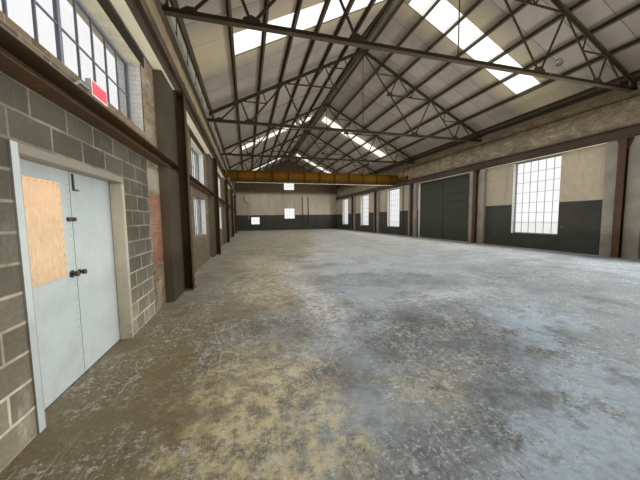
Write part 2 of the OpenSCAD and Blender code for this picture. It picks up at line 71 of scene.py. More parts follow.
def colour(title, code, text):
    return FloatVectorProperty(name=title, description=text, default=paint(code), subtype="COLOR",
                               size=3, min=0.0, max=1.0)


def number(title, value, text, unit="LENGTH"):
    return FloatProperty(name=title, description=text, default=value, unit=unit, min=0.0)


def solids(node):
    """Give the lowest and highest corner of each separate solid of a CAD node."""
    shape = bmesh.new()
    shape.from_mesh(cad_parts[node].data)
    bmesh.ops.remove_doubles(shape, verts=shape.verts, dist=0.00001)
    boxes = []
    seen = set()
    for start in shape.verts:
        if start in seen:
            continue
        seen.add(start)
        group = [start]
        for vert in group:
            for edge in vert.link_edges:
                other = edge.other_vert(vert)
                if other not in seen:
                    seen.add(other)
                    group.append(other)
        boxes.append(tuple(Vector(pick(v.co[i] for v in group) for i in range(3)) for pick in (min, max)))
    shape.free()
    return boxes


# Places of the hall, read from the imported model
FLOOR_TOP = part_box("floor_slab")[1].z
LEFT_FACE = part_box("left_block_wall_near")[1].x
RIGHT_FACE = -LEFT_FACE
REAR_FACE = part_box("rear_gable_wall")[0].y
FRONT_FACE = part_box("front_gable_wall")[1].y
TRUSSES = ["truss_1", "truss_2", "truss_3", "truss_4", "truss_5"]
TRUSS_Y = [sum(corner.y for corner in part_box(name)) / 2 for name in TRUSSES]
BAY = TRUSS_Y[1] - TRUSS_Y[0]
BAY_MIDDLES = [y - BAY / 2 for y in TRUSS_Y] + [TRUSS_Y[-1] + BAY / 2]

# Masonry units: length, course and joint
BLOCK = (0.406, 0.2008, 0.034)
BRICK = (0.213, 0.067, 0.010)
# Distance between the ribs of the roof sheets
RIB_STEP = 0.905
# Height of the boards that the piers and lintels were cast in
BOARD_H = 0.15
# Height of the painted dado
DADO_TOP = 2.16

# Gussets along a truss's bottom chord, from its middle, and the rivets of each, from the gusset's middle
GUSSET_X = (2.85, 5.27, 6.48)
RIVETS = ((-0.16, 0.03), (-0.08, 0.03), (0, 0.03), (0.08, 0.03), (0.16, 0.03), (-0.05, 0.12), (0.06, 0.12))

# Camera: its place, and how far it turns right, tips down and rolls, in degrees
CAMERA_PLACE = (-5.492, -18.255, 1.619)
CAMERA_TURN = (15.0524, 4.5708, -0.7115)
# How far the sun's light is turned about x, y and z, and how wide the sun is, in degrees
SUN_TURN = (42, 10, 35)
SUN_WIDTH = 25
# How brightly each bay is lit, from the front one to the rear one
BAY_LIGHT = (1.7, 1.15, 0.95, 0.85, 0.7, 0.35)

# Patches on the left wall's brick: low and high corner along and up the wall, raggedness, colour, lump
RED_PATCH = ((-13.5, 0.9), (-12.6, 2.05), 0.03, "7d4f3d", 0.15)
PALE_PATCH = ((-13.6, 2.1), (-12.5, 2.45), 0.03, "8d8778", 0.15)
PALE_BAND = ((-18.5, 5.12), (18.5, 5.44), 0.02, "8f7c60", 0.3)

# Patches on the floor: colour, grain, raggedness, lump, then (middle, half widths, turn, share) of each
FLOOR_PATCHES = (
    ("44443f", "grit", 0.5, 0.5, (
        ((-3.3, -15.8), (1.2, 1.0), 0.3, 0.75), ((-2.9, -14.6), (1.0, 0.6), 0.3, 0.6),
        ((-2.2, -12.6), (1.6, 0.8), -0.3, 0.55), ((1.6, -12.8), (2.4, 1.0), 0.5, 0.5),
        ((-1.9, -15.6), (1.0, 0.6), 0.4, 0.5), ((-5.1, -14.9), (0.5, 0.5), 0.0, 0.4),
        ((-4.35, -16.95), (0.6, 0.35), 0.4, 0.5))),
    ("6e5e3e", "grit", 0.6, 0.4, (((-6.5, -15.8), (0.8, 2.0), 0.0, 0.9),)),
    ("c3c3bf", "drifts", 0.5, 0.3, (
        ((-4.35, -13.9), (0.3, 1.2), 0.0, 0.75), ((-2.2, -14.1), (1.2, 0.3), 0.1, 0.5),
        ((-4.4, -11.0), (0.4, 1.8), 0.0, 0.5))),
    ("d2c296", "drifts", 0.6, 0.25, (
        ((-5.4, -16.5), (0.55, 0.8), 0.0, 0.8), ((-5.3, -15.4), (0.5, 0.5), 0.0, 0.35),
        ((-5.2, -12.6), (0.6, 1.0), 0.2, 0.55), ((-4.0, -16.3), (0.4, 0.3), 0.4, 0.4),
        ((-5.0, -9.6), (0.7, 2.2), 0.1, 0.4))),
    # Bluish patches: painted reflection of the sky on the smooth floor.
    ("a3b3c2", "sheen", 0.6, 0.5, (
        ((-3.1, -17.1), (1.0, 0.35), 0.2, 0.75), ((-1.5, -15.4), (0.8, 0.5), 0.5, 0.6),
        ((-2.4, -16.4), (0.7, 0.4), 0.4, 0.4))),
)
# Small marks on the floor: size, where a mark starts and is full, share, shift, colour
FLOOR_FLECKS = (
    (0.06, 0.56, 0.61, 0.5, (1, 1, 0), "c3c7c3"), (0.03, 0.57, 0.62, 0.6, (4, 7, 0), "cdcfc9"),
    (0.12, 0.58, 0.61, 0.3, (8, 2, 0), "bdbfb9"), (0.045, 0.58, 0.64, 0.45, (9, 5, 0), "30312c"),
    (0.07, 0.62, 0.68, 0.45, (3, 8, 0), "cbbf98"),
)
# Scratches on the floor: width, length, turn, shift
FLOOR_SCRATCHES = ((0.012, 0.16, 1.3, (0, 0, 0)), (0.014, 0.25, 2.0, (4, 2, 0)), (0.02, 0.7, 0.7, (8, 3, 0)))


class HallColours(bpy.types.PropertyGroup):
    """Colours of the hall's main finishes."""
    block: colour("Block", "5f594c", "Face of the concrete blocks")
    block_joint: colour("Block joint", "989080", "Mortar between the blocks")
    brick: colour("Brick", "6d5d48", "Face of the bare bricks")
    brick_joint: colour("Brick joint", "8e8472", "Mortar between the bricks")
    cream: colour("Cream paint", "9b8f7b", "Paint on the walls above the dado")
    dado: colour("Dado paint", "363630", "Paint on the lower part of the walls")
    concrete: colour("Cast concrete", "7d766a", "Piers and lintels of the right wall")
    # Left piers: dark concrete, darkened further as painted shade.
    pier: colour("Left piers", "393225", "Sooty piers of the left wall")
    lintel: colour("Left lintels", "241d18", "Sooty lintels of the left windows")
    # Window reveals: whitewash, brightened as painted daylight falling on them.
    reveal_lime_and_daylight: colour("Limewash", "efefe8", "Whitened reveals of the windows")
    slab: colour("Floor", "959ca0", "Floor slab where it is clean")
    slab_stain: colour("Floor stain", "75694d", "Earth and oil trodden into the floor")
    steel: colour("Steelwork", "3d3425", "Paint on trusses and purlins")
    rusty: colour("Rusty steel", "42311f", "Columns and girts where the paint has gone")
    sash: colour("Window steel", "777a86", "Paint on the window frames and bars")
    roof: colour("Roof sheets", "83796e", "Underside of the roof sheets")
    leaf: colour("Door leaves", "c1c9c7", "Paint on the double door")
    door_frame: colour("Door frame", "aea694", "Paint on the double door's frame")
    big_door: colour("Big door", "33362c", "Paint on the big door")
    crane: colour("Crane", "503602", "Paint on the crane bridge")
    plywood: colour("Plywood", "cfb08c", "Bare board on the near leaf")


class HallWindows(bpy.types.PropertyGroup):
    """Sizes of the glazing bars."""
    pane_w: number("Pane width", 0.308, "Distance between upright glazing bars")
    pane_h: number("Pane height", 0.47, "Distance between level glazing bars")
    bar_w: number("Bar width", 0.014, "Face of a glazing bar")
    bar_d: number("Bar depth", 0.028, "Depth of a glazing bar through the glass")
    mullion_w: number("Mullion width", 0.045, "Face of the post in the middle of a wide window")


class HallFittings(bpy.types.PropertyGroup):
    """Sizes of pipes, bolts, rods and lamps."""
    bolt_r: number("Bolt radius", 0.016, "Half the width of a bolt head")
    bolt_h: number("Bolt height", 0.014, "Height of a bolt head")
    rod_r: number("Sag rod radius", 0.009, "Rods between the purlins")
    conduit_r: number("Conduit radius", 0.013, "Conduit on the girt")
    conduit_z: number("Conduit height", 5.5, "Height of the conduit along the right wall")
    downpipe_r: number("Pipe radius", 0.05, "Pipes on the rear wall")
    lamp_r: number("Lamp radius", 0.1, "Rim of a lamp under the trusses")
    nail_r: number("Nail radius", 0.004, "Nail heads on the plywood")
    panel_count: IntProperty(name="Door panels", description="Level panels of the big door", default=8, min=2)
    nail_count: IntProperty(name="Nails", description="Nails along the top of the plywood", default=9, min=2)


class HallStage(bpy.types.PropertyGroup):
    """Camera and light."""
    lens: number("Lens", 15.06, "Focal length", "CAMERA")
    inside_power: number("Inside light", 330.0, "Power of the lamps over each bay", "POWER")
    bounce_power: number("Bounced light", 150.0, "Power of the light thrown up in each bay", "POWER")
    side_power: number("Side light", 330.0, "Power of the low light from the right windows", "POWER")
    daylight: number("Daylight", 0.75, "Strength of the sky outside", "NONE")
    sun: number("Sun", 1.6, "Strength of the soft sun outside", "NONE")


# Node materials
class Finish:
    """A material on Object coordinates, built from short calls."""

    def __init__(self, name):
        self.material = bpy.data.materials.new(name)
        self.material.use_nodes = True
        self.tree = self.material.node_tree
        self.tree.nodes.clear()
        self.surface = self.tree.nodes.new("ShaderNodeBsdfPrincipled")
        output = self.tree.nodes.new("ShaderNodeOutputMaterial")
        self.tree.links.new(self.surface.outputs["BSDF"], output.inputs["Surface"])
        self.where = self.node("TexCoord").outputs["Object"]
        self.x, self.y, self.z = self.node("SeparateXYZ", {0: self.where}).outputs
        MATERIALS[name] = self.material

    def plug(self, socket, value):
        """Link another socket to a socket, or set its value."""
        if isinstance(value, bpy.types.NodeSocket):
            self.tree.links.new(value, socket)
        else:
            socket.default_value = value

    def node(self, kind, plugs=None, **settings):
        made = self.tree.nodes.new("ShaderNode" + kind)
        for name, value in settings.items():
            setattr(made, name, value)
        for name, value in (plugs or {}).items():
            self.plug(made.inputs[name], value)
        return made

    def set(self, **values):
        """Set or link sockets of the surface, named with underscores for spaces."""
        for name, value in values.items():
            self.plug(self.surface.inputs[name.replace("_", " ")], value)

    def math(self, operation, a, b=0.0):
        return self.node("Math", {0: a, 1: b}, operation=operation).outputs[0]

    def plus(self, a, b):
        return self.math("ADD", a, b)

    def times(self, a, b):
        return self.math("MULTIPLY", a, b)

    def rest(self, a):
        """Give what a share leaves of 1."""
        return self.math("SUBTRACT", 1.0, a)

    def less(self, a, b):
        """Give 1 where a is less than b, and 0 elsewhere."""
        return self.math("LESS_THAN", a, b)

    def more(self, a, b):
        """Give 1 where a is more than b, and 0 elsewhere."""
        return self.math("GREATER_THAN", a, b)

    def off(self, value, middle=0.0):
        """Give how far a value is from a middle."""
        return self.math("ABSOLUTE", self.math("SUBTRACT", value, middle))

    def step(self, value, low, high):
        """Rise smoothly from 0 at low to 1 at high."""
        return self.node("MapRange", {"Value": value, "From Min": low, "From Max": high},
                         interpolation_type="SMOOTHSTEP").outputs[0]

    def ramp(self, value, low, high, start, end):
        """Go evenly from start at low to end at high."""
        return self.node("MapRange", {"Value": value, "From Min": low, "From Max": high,
                                      "To Min": start, "To Max": end}).outputs[0]

    def lines(self, value, spacing, low, high=0.5):
        """Give 1 on the lines between units of one spacing, from low to high out from a unit's middle."""
        across = self.math("FRACT", self.math("DIVIDE", value, spacing))
        return self.step(self.off(across, 0.5), low, high)

    def noise(self, size, detail=4.0, rough=0.55, stretch=(1, 1, 1), shift=(0, 0, 0)):
        """Give a noise from 0 to 1 whose lumps are about one size, in metres."""
        laid = self.node("Mapping", {"Vector": self.where, "Location": shift, "Scale": stretch})
        return self.node("TexNoise", {"Vector": laid.outputs[0], "Scale": 1 / size, "Detail": detail,
                                      "Roughness": rough}).outputs["Fac"]

    def blotch(self, size, low, high, share=1.0, **options):
        """Give up to a share where a noise is above low to high."""
        return self.times(self.step(self.noise(size, **options), low, high), share)

    def sway(self, size, width, **options):
        """Wander to both sides of 0, over a width in all."""
        return self.times(self.plus(self.noise(size, **options), -0.5), width)

    def mix(self, share, a, b, blend="MIX"):
        return self.node("Mix", {0: share, 6: rgba(a), 7: rgba(b)}, data_type="RGBA",
                         blend_type=blend).outputs[2]

    def shade(self, base, amount):
        """Multiply a colour by a grey value."""
        grey = self.node("CombineColor", {0: amount, 1: amount, 2: amount}).outputs[0]
        return self.mix(1.0, base, grey, "MULTIPLY")

    def mottle(self, base, size, depth, **options):
        """Vary a colour's brightness by a noise, by up to depth each way."""
        return self.shade(base, self.ramp(self.noise(size, **options), 0.25, 0.75, 1 - depth, 1 + depth))

    def relief(self, height, depth, strength=1.0, under=None):
        plugs = {"Height": height, "Distance": depth, "Strength": strength}
        if under is not None:
            plugs["Normal"] = under
        return self.node("Bump", plugs).outputs[0]

    def inside(self, low, high, ragged):
        """Give 1 inside an area of a wall, from (along, z) low to high, with ragged edges."""
        wander = self.sway(0.35, ragged * 6)
        share = 1.0
        for place, start, end in ((self.along, low[0], high[0]), (self.z, low[1], high[1])):
            moved = self.plus(place, wander)
            share = self.times(share, self.step(moved, start - ragged, start + ragged))
            share = self.times(share, self.rest(self.step(moved, end - ragged, end + ragged)))
        return share

    def wall_patch(self, base, patch, where=1.0):
        """Lay a ragged patch of another colour on a wall."""
        low, high, ragged, code, lump = patch
        share = self.times(where, self.inside(low, high, ragged))
        return self.mix(self.times(share, 0.7), base, self.mottle(code, lump, 0.2))

    def floor_patch(self, place, spans, ragged, turn, lump):
        """Give 1 inside a ragged oval patch of the floor, from its middle and its half widths."""
        laid = self.node("Mapping", {"Vector": self.where, "Location": (*place, 0.0),
                                     "Rotation": (0, 0, turn), "Scale": (*spans, 1000.0)},
                         vector_type="TEXTURE").outputs[0]
        reach = self.node("VectorMath", {0: laid}, operation="LENGTH").outputs["Value"]
        reach = self.plus(reach, self.sway(lump, ragged * 5, detail=8, rough=0.65))
        return self.rest(self.step(reach, 1.0 - ragged, 1.0 + ragged))

    def scratches(self, width, run, turn, shift):
        """Give short strokes on the floor that all run one way."""
        turned = self.node("Mapping", {"Vector": self.where, "Location": shift, "Rotation": (0, 0, turn),
                                       "Scale": (1 / width, 1 / run, 1.0)}).outputs[0]
        marks = self.node("TexNoise", {"Vector": turned, "Scale": 1.0, "Detail": 3.0}).outputs["Fac"]
        return self.step(marks, 0.62, 0.7)

    @property
    def facing(self):
        """The three parts of the direction that a face looks in."""
        if not hasattr(self, "look"):
            self.look = self.node("SeparateXYZ", {0: self.node("NewGeometry").outputs["Normal"]}).outputs
        return self.look

    @property
    def along(self):
        """Place along a wall: y on the side walls and x on the gable walls."""
        if not hasattr(self, "run"):
            sideways = self.step(self.off(self.facing[1]), 0.6, 0.8)
            self.run = self.node("Mix", {0: sideways, 2: self.y, 3: self.x}).outputs[0]
        return self.run


def colours():
    return bpy.context.scene.hall_colours


def masonry(f, unit, wander, soft=0.3):
    """Lay bricks or blocks along a wall, and give the joint share and the colour share of each unit."""
    width, course, joint = unit
    shake = f.sway(0.25, wander)
    flat = f.node("CombineXYZ", {0: f.plus(f.along, shake), 1: f.plus(f.plus(f.z, -FLOOR_TOP), shake)})
    laid = f.node("TexBrick", {"Vector": flat.outputs[0], "Color1": (0, 0, 0, 1), "Color2": (1, 1, 1, 1),
                               "Mortar": (0.5, 0.5, 0.5, 1), "Scale": 1.0, "Mortar Size": joint / 2,
                               "Mortar Smooth": soft, "Brick Width": width, "Row Height": course})
    return laid.outputs["Fac"], laid.outputs["Color"]


def indoors(f):
    """Give 1 on the walls' inside faces and 0 on what lies further out."""
    return f.times(f.less(f.off(f.x), RIGHT_FACE + 0.01), f.less(f.off(f.y), REAR_FACE + 0.01))


def block_finish():
    """Concrete blocks with soft pale joints, with painted light near the floor and painted shade higher up
    and beyond the door.
    """
    hall = colours()
    f = Finish("concrete_block")
    joint, tone = masonry(f, BLOCK, 0.014, 0.8)
    face = f.mix(tone, f.shade(hall.block, 0.8), f.shade(hall.block, 1.18))
    face = f.mottle(f.mottle(face, 0.9, 0.22), 0.03, 0.16, detail=6)
    mortar = f.mottle(hall.block_joint, 0.12, 0.2)
    filled = f.plus(0.45, f.blotch(0.3, 0.35, 0.6, 0.55, detail=6))
    base = f.mix(f.times(joint, filled), face, mortar)
    smear = f.blotch(0.35, 0.54, 0.7, 0.45, detail=8, rough=0.7, stretch=(1, 1, 0.4), shift=(0, 4, 0))
    base = f.mix(smear, base, mortar)
    # Painted light and shade on the inside: brighter near the floor, darker higher up and beyond the door.
    painted_light_and_shade = f.shade(f.shade(base, f.ramp(f.z, 0.3, 1.5, 2.4, 0.74)), f.ramp(f.y, -15.5, -14.2, 1.0, 0.78))
    base = f.mix(indoors(f), base, painted_light_and_shade)
    pits = f.relief(f.noise(0.008, detail=5), 0.004, 0.6)
    f.set(Base_Color=base, Roughness=0.93, Normal=f.relief(f.rest(joint), 0.006, 0.9, pits))


def brick_faces(f):
    """Lay bricks and mortar, and give the joint share and the colour."""
    hall = colours()
    joint, tone = masonry(f, BRICK, 0.006)
    face = f.mix(tone, f.shade(hall.brick, 0.72), f.shade(hall.brick, 1.25))
    face = f.mottle(face, 0.02, 0.15, detail=5)
    return joint, f.mix(joint, face, f.mottle(hall.brick_joint, 0.08, 0.25))


def brick_relief(f, joint):
    grain = f.relief(f.noise(0.006, detail=4), 0.003, 0.5)
    return f.relief(f.rest(joint), 0.008, 1.0, grain)


def reveals(f, base, joint):
    """Whiten the sides of the window openings over the bricks: partly whitewash, partly painted daylight on
    the reveals.
    """
    deep = f.more(f.off(f.x), RIGHT_FACE + 0.015)
    within = f.less(f.off(f.y), REAR_FACE)
    side = f.times(f.more(f.off(f.facing[1]), 0.9), f.times(deep, within))
    lime_and_painted_daylight = f.shade(f.mottle(colours().reveal_lime_and_daylight, 0.1, 0.12, detail=7), f.rest(f.times(joint, 0.18)))
    return f.mix(side, base, lime_and_painted_daylight)


def weathered(f, base):
    """Smear the bricks with mortar in places and soot in others."""
    smear = f.blotch(0.5, 0.48, 0.66, 0.75, detail=8, rough=0.7)
    base = f.mix(smear, base, f.mottle(colours().brick_joint, 0.03, 0.2, detail=6))
    bloom = f.blotch(0.2, 0.56, 0.66, 0.55, detail=9, rough=0.7, stretch=(1, 0.35, 1.6), shift=(0, 2, 2))
    soot = f.blotch(1.6, 0.5, 0.75, 0.55, shift=(3, 1, 0))
    return f.mix(soot, f.mix(bloom, base, "aea18c"), "382f27")


def outside_brick(f, bricks, worn):
    """Give the bricks of the outside faces, lightly worn, damp and dark near the ground."""
    damp = f.rest(f.step(f.plus(f.z, f.times(f.noise(0.8, detail=6), 0.6)), 0.5, 1.1))
    return f.mix(f.times(damp, 0.5), f.shade(f.mix(0.45, bricks, worn), 1.3), "3b342b")


def brick_finish():
    """Bare brown brick, with a red and a pale patch and a band on the left wall's inside, and painted shade
    there high up and beyond the first bay.
    """
    f = Finish("brick")
    joint, bricks = brick_faces(f)
    base = weathered(f, bricks)
    outer = outside_brick(f, bricks, base)
    inner = indoors(f)
    left = f.times(inner, f.less(f.x, 0.0))
    base = f.wall_patch(f.wall_patch(base, RED_PATCH), PALE_PATCH)
    # Painted shade: the left wall's inside darker from 4.3 m up.
    painted_shade_top = f.times(left, f.step(f.z, 4.3, 4.6))
    base = f.mix(f.times(painted_shade_top, 0.7), base, "372d20")
    # Painted shade: the left wall's inside darker beyond the first bay.
    painted_shade_far = f.times(left, f.step(f.y, -12.2, -11.0))
    base = f.shade(base, f.ramp(painted_shade_far, 0.0, 1.0, 1.0, 0.6))
    base = f.wall_patch(base, PALE_BAND, left)
    base = reveals(f, f.mix(inner, outer, base), joint)
    f.set(Base_Color=base, Roughness=0.95, Normal=brick_relief(f, joint))


def painted_wall_finish():
    """Brick painted cream over a dark dado, bare brick towards the roof, darkened there with painted shade.
    """
    hall = colours()
    f = Finish("painted_brick")
    joint, bare = brick_faces(f)
    cream = f.mottle(f.mottle(hall.cream, 1.3, 0.2, stretch=(1, 1, 0.25)), 0.15, 0.1)
    streaks = f.blotch(0.5, 0.55, 0.75, 0.6, stretch=(1, 1, 0.12), shift=(0, 0, 7))
    cream = f.mix(streaks, cream, "6f6554")
    painted = f.mix(f.step(f.z, DADO_TOP, DADO_TOP + 0.04), f.mottle(hall.dado, 0.6, 0.25), cream)
    flaked = f.blotch(0.45, 0.66, 0.7, 0.8, detail=8, rough=0.7, shift=(5, 0, 0))
    painted = f.mix(flaked, painted, bare)
    # Towards the roof: bare brick, half mixed to dark brown as painted shade.
    height = f.plus(f.z, f.sway(0.9, 0.25))
    walls = f.mix(f.step(height, 4.7, 5.3), painted, f.mix(0.5, bare, "372a1c"))
    outer = outside_brick(f, bare, weathered(f, bare))
    base = reveals(f, f.mix(indoors(f), outer, walls), joint)
    f.set(Base_Color=base, Roughness=0.85, Normal=brick_relief(f, f.times(joint, 0.6)))


def concrete_finish(name, left_paint, soffit_paint):
    """Cast concrete with the marks of its boards, with other colours along the left wall."""
    f = Finish(name)
    boards = f.lines(f.z, BOARD_H, 0.44)
    left = f.less(f.x, 0.0)
    base = f.mix(left, colours().concrete, left_paint)
    turned = f.times(left, f.less(f.math("MINIMUM", f.facing[1], f.facing[2]), -0.8))
    base = f.mix(turned, base, soffit_paint)
    base = f.mottle(f.mottle(base, 0.6, 0.25), 0.04, 0.14, detail=6)
    base = f.shade(base, f.rest(f.times(boards, 0.15)))
    pores = f.relief(f.noise(0.01, detail=6), 0.003, 0.5)
    f.set(Base_Color=base, Roughness=0.9, Normal=f.relief(boards, 0.003, -0.6, pores))


def slab_finish():
    """Worn floor: blue-grey, trodden brown along the left wall, with dust, dark stains, flecks, painted shade
    towards the right and bluish painted reflections.
    """
    hall = colours()
    f = Finish("slab_concrete")
    base = f.mix(f.step(f.y, -14.0, -3.0), hall.slab, "a09e95")
    # Painted shade: the floor darker towards the right wall.
    base = f.shade(base, f.ramp(f.x, -3.0, 3.0, 0.94, 0.5))
    base = f.mottle(f.mottle(base, 1.2, 0.18, detail=9, rough=0.65), 0.05, 0.35, detail=9, rough=0.8)
    drift = f.sway(1.2, 4.0, detail=9, rough=0.65)
    lean = f.plus(f.plus(f.x, drift), f.times(f.plus(f.y, 15.0), -0.25))
    left = f.rest(f.step(lean, -5.6, -4.0))
    trodden = f.mottle(f.mottle(hall.slab_stain, 0.35, 0.25, detail=8), 0.05, 0.2, detail=8, rough=0.7)
    base = f.mix(f.times(left, 0.85), base, trodden)
    oil = f.blotch(0.35, 0.52, 0.64, 0.45, detail=10, rough=0.75, shift=(2, 9, 0))
    base = f.mix(oil, base, "45453f")
    grains = {
        "grit": f.plus(0.35, f.blotch(0.06, 0.36, 0.56, 0.65, detail=9, rough=0.8, shift=(6, 2, 0))),
        "drifts": f.blotch(0.12, 0.4, 0.6, detail=10, rough=0.8),
        "sheen": f.blotch(0.3, 0.4, 0.55, detail=10, rough=0.7),
    }
    for code, grain, ragged, lump, places in FLOOR_PATCHES:
        tone = f.mottle(code, 0.05, 0.25, detail=8, rough=0.7)
        for place, spans, turn, share in places:
            amount = f.times(f.floor_patch(place, spans, ragged, turn, lump), grains[grain])
            base = f.mix(f.times(amount, share), base, tone)
    worn = f.blotch(0.7, 0.36, 0.56, detail=7, shift=(5, 5, 0))
    for size, low, high, share, shift, code in FLOOR_FLECKS:
        fleck = f.blotch(size, low, high, share, detail=5, rough=0.7, shift=shift)
        base = f.mix(f.times(fleck, worn), base, code)
    for width, run, turn, shift in FLOOR_SCRATCHES:
        marks = f.times(f.scratches(width, run, turn, shift), worn)
        base = f.mix(f.times(marks, 0.4), base, "b9bab3")
    long_joint = f.rest(f.step(f.off(f.x, -0.1), 0.005, 0.012))
    cross_joints = f.lines(f.plus(f.y, 15.1), BAY, 0.4988, 0.4996)
    joint = f.math("MAXIMUM", long_joint, cross_joints)
    base = f.mix(f.times(joint, 0.4), base, "b0a68f")
    rough = f.ramp(f.noise(0.4, detail=9, rough=0.65), 0.0, 1.0, 0.25, 0.9)
    grain = f.relief(f.noise(0.012, detail=6, rough=0.65), 0.003, 0.5)
    f.set(Base_Color=base, Roughness=rough, Normal=f.relief(joint, 0.003, -0.5, grain))


def steel_finish(name, base, rust, dust, rough):
    """Old brush-painted steel: rust patches, and dust on what faces up."""
    f = Finish(name)
    face = f.mottle(f.mottle(base, 0.5, 0.25), 0.05, 0.15)
    rusty = f.blotch(0.35, 0.54, 0.66, detail=7, rough=0.7)
    face = f.mix(f.times(rusty, 0.7), face, f.mottle(rust, 0.03, 0.3))
    face = f.mix(f.times(f.step(f.facing[2], 0.5, 0.95), dust), face, "8c8069")
    f.set(Base_Color=face, Roughness=f.plus(rough, f.times(rusty, 0.25)),
          Normal=f.relief(f.noise(0.02, detail=5), 0.002, 0.5))


def plate_finish():
    """Wall plates: worn grey-green on the left wall, and dark above brown on the right."""
    f = Finish("plate_steel")
    low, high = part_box("wall_plates")
    right = f.mix(f.less(f.z, (low.z + high.z) / 2), "2f261b", "6e5e48")
    base = f.mottle(f.mix(f.less(f.x, 0.0), right, "8d8a7c"), 0.6, 0.25)
    base = f.mix(f.blotch(0.3, 0.56, 0.68, 0.6, detail=7, rough=0.7), base, "4b3a2a")
    f.set(Base_Color=base, Roughness=0.7, Normal=f.relief(f.noise(0.03), 0.002, 0.4))


def runway_finish():
    """Runway beams: dark webs, and painted light on the underside of the bottom flange, as lit from the
    windows below.
    """
    f = Finish("runway_steel")
    under = f.times(f.less(f.facing[2], -0.8), f.less(f.z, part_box("runway_beams")[0].z + 0.01))
    # Painted light: the bottom flange's underside pale.
    base = f.mix(under, f.mottle("3d3126", 0.5, 0.3), f.mottle("f2ead0", 0.7, 0.12))
    f.set(Base_Color=base, Roughness=0.6, Normal=f.relief(f.noise(0.03), 0.002, 0.4))


def roof_finish():
    """Roof sheets: warm grey underside with a dark lap at every rib and painted light around the rooflights,
    faded outside.
    """
    f = Finish("roof_steel")
    under = f.mottle(f.mottle(colours().roof, 1.5, 0.16), 0.3, 0.08)
    sheet = f.math("FLOOR", f.math("DIVIDE", f.y, RIB_STEP))
    tint = f.node("TexWhiteNoise", {"W": sheet}, noise_dimensions="1D").outputs["Value"]
    under = f.shade(under, f.plus(0.86, f.times(tint, 0.24)))
    lap = f.lines(f.y, RIB_STEP, 0.478)
    under = f.mix(f.times(lap, 0.8), under, "322b22")
    for y in sorted({round((low.y + high.y) / 2, 1) for low, high in solids("rooflights")}):
        # Painted light: the sheets paler near each rooflight.
        painted_rooflight_glow = f.rest(f.step(f.off(f.y, y), 0.5, 1.5))
        under = f.mix(f.times(painted_rooflight_glow, 0.45), under, "b3a580")
    faded = f.mottle(f.mottle("8f8d88", 1.8, 0.15), 0.2, 0.08)
    streak = f.blotch(0.6, 0.52, 0.72, 0.55, stretch=(0.15, 1, 0.15), detail=6)
    faded = f.mix(streak, faded, "6e5a48")
    base = f.mix(f.step(f.facing[2], -0.1, 0.1), under, faded)
    f.set(Base_Color=base, Roughness=0.62, Normal=f.relief(lap, 0.004, 0.6))


def rooflight_finish():
    """Translucent rooflight sheets, made to glow with painted daylight."""
    f = Finish("rooflight_sheet")
    f.set(Base_Color=f.mottle("b9bab4", 0.6, 0.1), Roughness=0.45, Emission_Color=(1.0, 0.99, 0.95, 1.0),
          Emission_Strength=0.75)


def glass_finish():
    """Dusty window glass."""
    f = Finish("glass")
    dirt = f.blotch(0.35, 0.45, 0.8, detail=6)
    f.set(Base_Color=f.mix(f.times(dirt, 0.12), (1, 1, 1), "c9c6bc"), Roughness=f.times(dirt, 0.25),
          Transmission_Weight=1.0, IOR=1.12)


def frame_tones(f, face):
    """Tone the door frame: painted shade along its head, painted light on the face of its far jamb that looks
    to the front, and as the leaf on its near jamb.
    """
    leaf_low, leaf_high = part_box("door_leaf_near")
    # Painted shade along the head.
    face = f.mix(f.more(f.z, leaf_high.z - 0.03), face, f.shade(face, 0.62))
    # Painted light on the faces that look to the front.
    face = f.mix(f.less(f.facing[1], -0.8), face, f.shade(face, 2.0))
    return f.mix(f.less(f.y, leaf_low.y + 0.01), face, f.mottle(colours().leaf, 0.3, 0.06))


def paint_finish(name, base, dirt, chip=0.7, rough=0.5, head=1.0, foot=0.7, tones=None):
    """Brushed paint with dirt and chips, darker by head at two metres up as painted shade, and dirty by foot
    near the floor.
    """
    f = Finish(name)
    face = f.mottle(f.mottle(base, 0.8, 0.07, stretch=(1, 1, 0.2)), 0.06, 0.04)
    if tones is not None:
        face = tones(f, face)
    # Painted shade: darker towards two metres up, by head.
    face = f.shade(face, f.ramp(f.z, 0.8, 2.1, 1.0, head))
    low = f.rest(f.step(f.z, 0.15, 0.7))
    grime = f.times(f.plus(f.times(low, foot), 0.15), f.blotch(0.25, 0.35, 0.75, detail=7))
    face = f.mix(grime, face, dirt)
    face = f.mix(f.blotch(0.04, chip, chip + 0.02, detail=8, rough=0.75), face, "5b4636")
    brush = f.relief(f.noise(0.01, stretch=(1, 1, 0.05)), 0.001, 0.25)
    f.set(Base_Color=face, Roughness=rough, Normal=brush)


def plywood_finish():
    """Bare pressed board of pale wood flakes."""
    f = Finish("plywood")
    laid = f.node("Mapping", {"Vector": f.where, "Rotation": (0.5, 0, 0), "Scale": (1, 1, 0.45)}).outputs[0]
    flakes = f.node("TexVoronoi", {"Vector": laid, "Scale": 45.0, "Randomness": 1.0}).outputs["Color"]
    tone = f.node("SeparateColor", {0: flakes}).outputs[0]
    board = colours().plywood
    base = f.mottle(f.mix(tone, f.shade(board, 0.92), f.shade(board, 1.08)), 0.2, 0.08)
    warm = f.step(f.plus(f.z, f.times(f.noise(0.2), 0.2)), 1.65, 1.95)
    base = f.mix(f.times(warm, 0.35), base, "e0b394")
    f.set(Base_Color=base, Roughness=0.8, Normal=f.relief(tone, 0.001, 0.3))


def plastic_finish(name, base, glow=0.0):
    """Smooth moulded plastic, which glows where it is lit from inside."""
    f = Finish(name)
    f.set(Base_Color=f.mottle(base, 0.05, 0.06), Roughness=0.35, Normal=f.relief(f.noise(0.004), 0.0005, 0.2))
    if glow:
        f.set(Emission_Color=rgba(base), Emission_Strength=glow)


